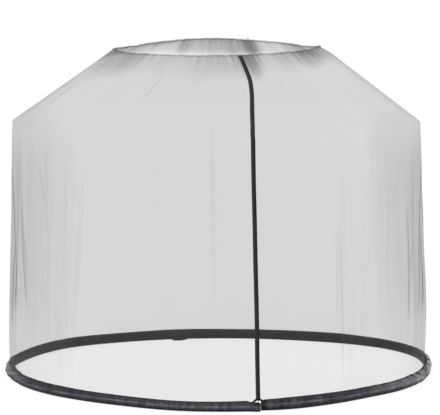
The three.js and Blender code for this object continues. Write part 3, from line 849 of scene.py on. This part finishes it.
# A painted highlight along the long ridge of the outer side and over the front's outer side, each with
# random grain.
painted_sheen = painted_sheen + 0.15 * ridge_line * (1 + 0.55 * patches + 0.2 * grain_line) + 0.02 * grain_line * outer
at_front = bell((degrees_here + 15 + 180) % 360 - 180, 0, 32)
painted_sheen = np.clip(painted_sheen + 0.07 * at_front * outer * (1 + 0.5 * grain_line), 0, 1)
print("Painted_sheen, least and most:", painted_sheen.min().round(2), painted_sheen.max().round(2))

# %% [markdown]
# ## Coated polyester for the sleeve
#
# The sleeve's cloth is plain-woven polyester with a thin coating. It is dark
# charcoal with a hint of violet, and it looks dull seen straight on. Its weave is
# too fine to show, so the threads are drawn at 2 mm. Its top seam is darker, and
# painted shade darkens its inner side, its underside and its ends by the zip.
# Where it bends most, a painted sheen lightens its outer sides, where the side
# lamps graze it.

# %% Sleeve material
WEAVE_PITCH = 0.002
SLEEVE_GIRTH = 0.215


def woven_cloth(name, dark, light, seam, sheen_colour, rough, pitch, bump_height):
    """Woven cloth: two crossed waves for warp and weft as bump, a cloudy colour
    between dark and light, and over it a painted sheen and the dark seam with
    painted shade, each from an attribute of the piece."""
    material = blank_material(name)
    uv = add(material, "UVMap", uv_map="cloth")
    split = add(material, "SeparateXYZ", {"Vector": uv})
    turns = [
        add(material, "Math", {0: split.outputs[i], 1: np.pi / pitch}, operation="MULTIPLY")
        for i in (0, 1)
    ]
    waves = [add(material, "Math", {0: t}, operation="SINE") for t in turns]
    weave = add(material, "Math", {0: waves[0], 1: waves[1]}, operation="MULTIPLY")
    lengthwise = add(material, "Mapping", {"Vector": uv, "Scale": (95.0, 30.0, 1.0)})
    cloud = add(material, "TexNoise", {
        "Vector": lengthwise, "Scale": 1.0, "Detail": 4.0, "Roughness": 0.65,
    })
    shade, patchy, gloss = (
        add(material, "MapRange", {
            "Value": cloud, "From Min": low, "From Max": 1 - low, "To Min": least, "To Max": most,
        })
        for low, least, most in (
            (0.35, 0.0, 1.0), (0.35, 0.7, 1.15), (0.3, rough - 0.06, rough + 0.08)
        )
    )
    painted_sheen_share, painted_seam_and_shade = (
        add(material, "Attribute", attribute_name=label).outputs["Fac"] for label in ("painted_sheen", "seam")
    )
    patchy_sheen = add(material, "Math", {0: painted_sheen_share, 1: patchy}, operation="MULTIPLY", use_clamp=True)
    colour = linear(dark)
    for share, tone in ((shade, light), (patchy_sheen, sheen_colour), (painted_seam_and_shade, seam)):
        mixed = add(material, "Mix", {0: share, 6: colour, 7: linear(tone)}, data_type="RGBA")
        colour = mixed.outputs[2]
    bump = add(material, "Bump", {"Height": weave, "Strength": 0.35, "Distance": bump_height})
    shader = add(material, "BsdfPrincipled", {
        "Base Color": colour, "Roughness": gloss, "Normal": bump, "Specular IOR Level": 0.12,
        "Sheen Weight": 0.02, "Sheen Roughness": 0.4,
    })
    return finish_with(material, shader)


# The near-black fourth colour is the seam and painted shade. The pale fifth colour is painted sheen.
sleeve_cloth = woven_cloth(
    "coated_polyester_plain_weave", "#18171c", "#37363d", "#0a0a0c", "#cbcad2",
    0.5, WEAVE_PITCH, 0.0003,
)
sleeve = tube_piece(
    "weight_sleeve_tube", sleeve_skin[:, ::-1], sleeve_cloth, SLEEVE_GIRTH, sleeve_along,
    {"seam": seam_and_shade_share[:, ::-1] * np.ones_like(along), "painted_sheen": painted_sheen[:, ::-1]},
)
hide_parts("weight_sleeve")

# %% [markdown]
# ## The seam between net and sleeve
#
# The netting's foot is caught in a folded tape that is sewn to the top of the
# sleeve all the way round. Where the sleeve's two ends dip at the zip, the tape
# bridges them, and a little daylight shows below it.

# %% Foot tape
TAPE_GIRTH = 0.032
foot = net_points[-1]
foot_out = unit(foot * (1, 1, 0))
foot_up = unit(np.cross(foot_out, unit(np.gradient(foot, axis=0))))


def rounded_strip(thick, tall, outwards, upwards):
    """The outline of a thin strip with round edges, as outward and upward steps:
    a circle made thick and tall, with its upward steps filled out by a power."""
    turn = full_turn(10)
    return np.stack([
        outwards + np.cos(turn) * thick / 2, upwards + full(np.sin(turn), 0.6) * tall / 2,
    ], axis=-1)


by_the_zip = bell(from_zip[-1], 0.0, 0.040)[:, None, None]
narrow = rounded_strip(0.0030, 0.005, 0.0022, -0.0010)
wide = rounded_strip(0.0030, 0.017, 0.0022, -0.0030)
foot_tape = rings_along(foot, foot_out, foot_up, narrow * (1 - by_the_zip) + wide * by_the_zip)
tape_cloth = woven_cloth(
    "polyester_binding_tape", "#0f0f11", "#1b1b1e", "#0b0b0c", "#2a2a2d", 0.6, 0.0015, 0.0002
)
foot_tape_piece = tube_piece(
    "foot_seam_tape", foot_tape[:, ::-1], tape_cloth, TAPE_GIRTH, lengths_along(foot),
)

# %% [markdown]
# ## The zip
#
# A continuous coil zip has two woven tapes. A nylon wire is bent into loops
# along each inner edge, and the loops of both sides lock into each other. The
# tapes are strips with round edges that follow the net, slightly proud of it.

# %% Zip tapes
TAPE_PROUD = 0.00213
TAPE_THICK = 0.0013
TAPE_INNER, TAPE_OUTER = 0.0005, 0.0151

ZIP_STARTS = 4              # rows of the grid: the zip begins just below the hem
zip_rows, zip_at = hung[ZIP_STARTS:], down[ZIP_STARTS:, 0]
zip_line = (zip_rows[:, 0] + zip_rows[:, -1]) / 2
zip_side = unit(zip_rows[:, 2] - zip_rows[:, -3])
zip_side = unit(through(zip_side[::3], zip_at[::3], zip_at))
zip_up = unit(-np.gradient(zip_line, axis=0))
zip_out = unit(np.cross(zip_side, zip_up))
zip_down = lengths_along(zip_line)


def zip_strip(low, high):
    """A strip beside the zip's middle line, between two sideways distances: a
    circle made wide and thin, with its sideways steps filled out by a power."""
    turn = full_turn(10)
    sideways = (low + high) / 2 + full(np.cos(turn), 0.5) * (high - low) / 2
    outwards = TAPE_PROUD + np.sin(turn) * TAPE_THICK / 2
    return rings_along(zip_line, zip_side, zip_out, np.stack([sideways, outwards], axis=-1))


# Both tapes are the same cloth. The right tape's darker colours are painted shade.
for side, name, tones in (
    (-1, "zip_tape_left", ("#303032", "#414144")), (1, "zip_tape_right", ("#202022", "#29292b"))
):
    weave = woven_cloth(f"woven_{name}", *tones, "#1b1b1d", "#3a3a3d", 0.7, 0.0012, 0.0002)
    strip = zip_strip(*sorted((side * TAPE_INNER, side * TAPE_OUTER)))
    tape = tube_piece(f"{name}_cloth", strip, weave, TAPE_GIRTH, zip_down)
    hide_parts(name)

# %% [markdown]
# ## Copies along a path
#
# Coil loops and stitches are one small shape, repeated hundreds of times. The
# shape is made once as an array, and multiplied by each place's three directions
# at once, so no loop runs over the copies.

# %% Copies as arrays
OUT_OF_PLANE = np.array([0.0, 1.0, 0.0])


def copies(name, template, faces, place, first, second, third, material):
    """One mesh with the template at each place: each of its points is the place
    plus its three numbers times the place's three directions."""
    count, size = len(place), len(template)
    axes = np.stack([first, second, third], axis=1)
    points = place[:, None] + np.einsum("tk,nkx->ntx", template, axes)
    offset = (np.arange(count) * size)[:, None, None]
    repeated = [(f[None] + offset).reshape(-1, f.shape[1]) for f in faces]
    return make_piece(name, points.reshape(-1, 3), repeated, material)


def bar_template(centres, thick, sides=6):
    """A round bar along a short line of points in a plane, with fans at its ends.
    The first number runs along the plane, the second out of it, the third up."""
    forward = unit(np.gradient(centres, axis=0))
    turn = full_turn(sides)
    circle = np.stack([thick * np.cos(turn), thick * np.sin(turn)], axis=-1)
    rings = rings_along(centres, np.cross(forward, OUT_OF_PLANE), OUT_OF_PLANE[None], circle)
    points = np.concatenate([rings.reshape(-1, 3), centres[[0, -1]]])
    return points, capped_faces(len(centres), sides)


def mottled(name, dark, light, scale, roughness, **shading):
    """A material whose colour goes from dark to light and whose roughness goes
    from its first value to its second with a noise, as many to the metre as its
    scale. What the shader needs besides is given by name."""
    material = blank_material(name)
    place = add(material, "TexCoord").outputs["Object"]
    spots = add(material, "TexNoise", {"Vector": place, "Scale": scale})
    colour = add(material, "Mix", {0: spots, 6: linear(dark), 7: linear(light)}, data_type="RGBA")
    rough = add(material, "MapRange", {"Value": spots, "To Min": roughness[0], "To Max": roughness[1]})
    shader = add(material, "BsdfPrincipled", {
        "Base Color": colour.outputs[2], "Roughness": rough,
        **{label.replace("_", " "): value for label, value in shading.items()},
    })
    return finish_with(material, shader)


# %% [markdown]
# ## The coil
#
# Each loop of the coil is an arch of nylon wire over the tapes' inner edges, and
# loops from the left and the right take turns. The free end hangs below the net
# between the two ends of the sleeve.

# %% Coil
COIL_PITCH = 0.0019
COIL_HALF_WIDTH = 0.0026
COIL_WIRE = 0.00045
COIL_PROUD = 0.0034         # metres from the middle line to the coil's own
FREE_STEPS = 5              # places down the coil's free end

coil_corners = corners_of("zip_coil")
coil_end = coil_corners[coil_corners[:, 2] < coil_corners[:, 2].min() + 0.001].mean(axis=0)
coil_base = zip_line + zip_out * COIL_PROUD
hanging = coil_end - coil_base[-1]
free_end = coil_base[-1] + hanging * np.linspace(0, 1, FREE_STEPS + 1)[1:, None]
coil_path = np.concatenate([coil_base, free_end])
coil_side, coil_out = (
    np.concatenate([across, np.tile(across[-1], (FREE_STEPS, 1))]) for across in (zip_side, zip_out)
)
coil_run = lengths_along(coil_path)
tooth_at = np.arange(COIL_PITCH, coil_run[-1] - COIL_PITCH, COIL_PITCH)
tooth_place = through(coil_path, coil_run, tooth_at)
tooth_up = unit(-np.gradient(tooth_place, axis=0))
tooth_out = unit(np.cross(through(coil_side, coil_run, tooth_at), tooth_up))
tooth_side = np.cross(tooth_up, tooth_out)
alternate = np.where(np.arange(len(tooth_at)) % 2, 0.0005, -0.0005)[:, None]
arch = np.linspace(0, np.pi, 7)
tooth, tooth_faces = bar_template(
    np.stack([-COIL_HALF_WIDTH * np.cos(arch), 0 * arch, 0.0015 * np.sin(arch)], axis=-1), COIL_WIRE
)
nylon = mottled("moulded_nylon_coil", "#2c2c2e", "#434345", 220.0, (0.38, 0.38), IOR=1.53)
coil = copies(
    "zip_coil_loops", tooth, tooth_faces, tooth_place + alternate * tooth_side,
    tooth_side, tooth_up, tooth_out, nylon,
)
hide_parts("zip_coil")

cord_turn = full_turn(8)
cord_section = np.stack([0.0019 * np.cos(cord_turn), 0.0004 + 0.0007 * np.sin(cord_turn)], axis=-1)
cord = rings_along(coil_path, coil_side, coil_out, cord_section)
tube_piece("zip_coil_cord", cord, weave, 0.009, coil_run)

# %% [markdown]
# ## Stitches
#
# Both tapes are sewn on with two rows of lockstitch, and the foot tape with one.
# A stitch is a short bar of thread that dips into the cloth at both ends. Real
# stitches are 3 mm long, and so are these.

# %% Stitches
STITCH_PITCH = 0.0042
thread_material = mottled(
    "spun_polyester_thread", "#18181a", "#3c3c3f", 900.0, (0.65, 0.65), Sheen_Weight=0.2
)
stitch_centres = np.array([
    (-1.55, 0, -0.25), (-1.2, 0, 0.1), (0, 0, 0.25), (1.2, 0, 0.1), (1.55, 0, -0.25),
]) * 1e-3
stitch, stitch_faces = bar_template(stitch_centres, 0.00028, sides=5)


def stitch_row(name, path, outwards):
    """Stitches along a path, lying on the cloth that faces outwards."""
    run = lengths_along(path)
    at = np.arange(STITCH_PITCH, run[-1] - STITCH_PITCH, STITCH_PITCH)
    place = through(path, run, at)
    forward = unit(np.gradient(place, axis=0))
    out = through(outwards, run, at)
    side = unit(np.cross(forward, out))
    return copies(
        name, stitch, stitch_faces, place, forward, -side, np.cross(side, forward),
        thread_material,
    )


for name, sideways in (
    ("left_inner", -0.0052), ("left_outer", -0.0129), ("right_inner", 0.0052), ("right_outer", 0.0129)
):
    line = zip_line + sideways * zip_side + (TAPE_PROUD + TAPE_THICK * 0.5) * zip_out
    stitch_row(f"zip_stitches_{name}", line, zip_out)
foot_line = foot + foot_out * 0.0038 - UPWARDS * 0.0010
foot_stitches = stitch_row("foot_tape_stitches", foot_line, foot_out)

# %% [markdown]
# ## The slider and its pull
#
# The slider is a zinc die casting, plated grey. It is parked on the coil's free
# end. Its body is a block with round corners that is wider at the top, where it
# parts the two rows of loops. The pull is a flat tab with a hole. The bridge on
# the real slider's front that holds it is not made here.

# %% Slider
BLOCK_ROWS, BLOCK_COLUMNS = 14, 24


def rounded_block(half, power=0.45, taper=0.25):
    """A closed block round its centre: a sphere whose sines and cosines are raised
    to a power below 1, so that it fills its box, narrowed downwards."""
    tilt = np.linspace(0, np.pi, BLOCK_ROWS)[:, None]
    turn = full_turn(BLOCK_COLUMNS)[None, :]
    up = full(np.cos(tilt), power) * np.ones_like(turn)
    ring = full(np.sin(tilt), power)
    x = ring * full(np.sin(turn), power) * (1 - taper * (1 - up) / 2)
    return np.stack([x, -ring * full(np.cos(turn), power), up], axis=-1) * half


zinc = mottled(
    "grey_plated_zinc_casting", "#6f6f70", "#a9a9aa", 350.0, (0.3, 0.55), Metallic=0.9
)
slider_centre = sum(np.array(corner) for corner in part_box("zip_slider")) / 2
lean = unit(hanging)
slider_axes = np.stack([unit(np.cross(lean, OUT_OF_PLANE)), OUT_OF_PLANE, -lean])
slider_axes[0] *= np.sign(slider_axes[0, 0])
block = slider_centre + rounded_block(np.array([0.0050, 0.0020, 0.0074])) @ slider_axes
slider = tube_piece(
    "zip_slider_body", block, zinc, 0.03, np.linspace(0, 0.02, BLOCK_ROWS)
)
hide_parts("zip_slider")

# %% Pull
# The tab is a ring of sections, from the hole's edge (0) to its own outer edge (1),
# and from its back (-0.5) to its front (0.5), carried once round the hole.
PULL_HOLE = 0.0023
PULL_STEPS = 36
PULL_SECTION = [
    (1.0, -0.3), (1.0, 0.3), (0.93, 0.5), (0.12, 0.5), (0.0, 0.36), (0.0, -0.36), (0.12, -0.5), (0.93, -0.5),
]
pull_low, pull_high = (np.array(corner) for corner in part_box("zip_pull"))
wide, thick, tall = pull_high - pull_low
pull_turn = full_turn(PULL_STEPS)
outer_x, outer_z = np.sin(pull_turn) * wide / 2, np.cos(pull_turn) * wide / 2
outer_z = np.where(outer_z < 0, outer_z - (tall - wide), outer_z)
hole_x, hole_z = np.sin(pull_turn) * PULL_HOLE, np.cos(pull_turn) * PULL_HOLE
share, depth = np.array(PULL_SECTION).T[..., None]
pull_x, pull_z = hole_x + (outer_x - hole_x) * share, hole_z + (outer_z - hole_z) * share
pull_middle = np.array([*((pull_low + pull_high) / 2)[:2], pull_high[2] - wide / 2])
pull_points = pull_middle + np.stack([pull_x, depth * thick * np.ones_like(pull_x), pull_z], axis=-1)
pull_points = pull_points.reshape(-1, 3)
pull_faces = grid_faces(len(PULL_SECTION) + 1, PULL_STEPS, closed=True) % len(pull_points)
pull = make_piece("zip_pull_tab", pull_points, [pull_faces], zinc)
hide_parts("zip_pull")

# %% [markdown]
# ## The net's cut size
#
# The net was cut about 9.2 m round and 2.6 m down, less what the roof's taper
# takes away.

# %% [markdown]
# ## Floor, background and light
#
# A pale floor under soft light keeps the net's faint shadow. For the camera a
# little light is added to the floor's own, so that it reads as plain white
# paper, and the world behind is white as well. Large soft lamps stand above and
# on both sides, as in a studio, and their light grazes the sleeve's outer sides.

# %% Floor and world
def seen_itself(material):
    """1 where the camera sees a surface itself, or its reflection or a view of it
    through something clear, and 0 for the light that it throws on other things."""
    rays = add(material, "LightPath")
    seen = rays.outputs["Is Camera Ray"]
    for kind in ("Is Glossy Ray", "Is Transmission Ray"):
        seen = add(material, "Math", {0: seen, 1: rays.outputs[kind]}, operation="MAXIMUM")
    return seen


FLOOR_HALF = 200
FLOOR_BELOW = 0.0006
FLOOR_GLOW = 0.87
floor_material = blank_material("white_paper_floor")
seen = seen_itself(floor_material)
paper_colour = add(floor_material, "Mix", {
    0: seen, 6: linear("#e6e6e6"), 7: linear("#747474"),
}, data_type="RGBA")
paper = add(floor_material, "BsdfDiffuse", {"Color": paper_colour.outputs[2]})
strength = add(floor_material, "Math", {0: seen, 1: FLOOR_GLOW}, operation="MULTIPLY")
glow = add(floor_material, "Emission", {"Strength": strength})
paper_and_glow = add(floor_material, "AddShader", {0: paper, 1: glow})
finish_with(floor_material, paper_and_glow)
floor_corners = np.array([(-1, -1, 0), (1, -1, 0), (1, 1, 0), (-1, 1, 0)], float) * FLOOR_HALF
floor_mesh = bpy.data.meshes.new("floor")
floor_mesh.from_pydata(floor_corners.tolist(), [], [(0, 1, 2, 3)])
floor_mesh.materials.append(floor_material)
floor = in_scene("floor", floor_mesh)
floor.location = (0, 0, ground - FLOOR_BELOW)

AMBIENT = 0.55
world = bpy.data.worlds.new("studio")
bpy.context.scene.world = world
world.use_nodes = True
world.node_tree.nodes.clear()
world_strength = add(world, "MapRange", {"Value": seen_itself(world), "To Min": AMBIENT, "To Max": 1.0})
background = add(world, "Background", {"Color": (1, 1, 1, 1), "Strength": world_strength})
finish_with(world, background, "OutputWorld")
print("The world's light:", AMBIENT)

# %% Lamps
def soft_sun(name, degrees_round, degrees_up, strength, spread):
    """A sun lamp as wide as a big lamp screen: it shines from a compass direction
    counted from the -Y side towards +X, and from a height in degrees."""
    data = bpy.data.lights.new(name, "SUN")
    data.energy = strength
    data.angle = np.radians(spread)
    lamp = in_scene(name, data)
    lamp.rotation_euler = (np.radians(90 - degrees_up), 0, np.radians(degrees_round))
    return lamp


soft_sun("key", -35, 52, 1.2, 60)
soft_sun("left_side", -100, 12, 0.5, 40)
soft_sun("right_side", 100, 12, 0.8, 40)

# %% [markdown]
# ## View settings
#
# The Standard view shows colours as they were written. Netting that is looked
# through at a slant lies many layers deep, so Cycles may pass more see-through
# surfaces than usual.

# %% Finish
bpy.context.scene.view_settings.view_transform = "Standard"
bpy.context.scene.cycles.transparent_max_bounces = 32
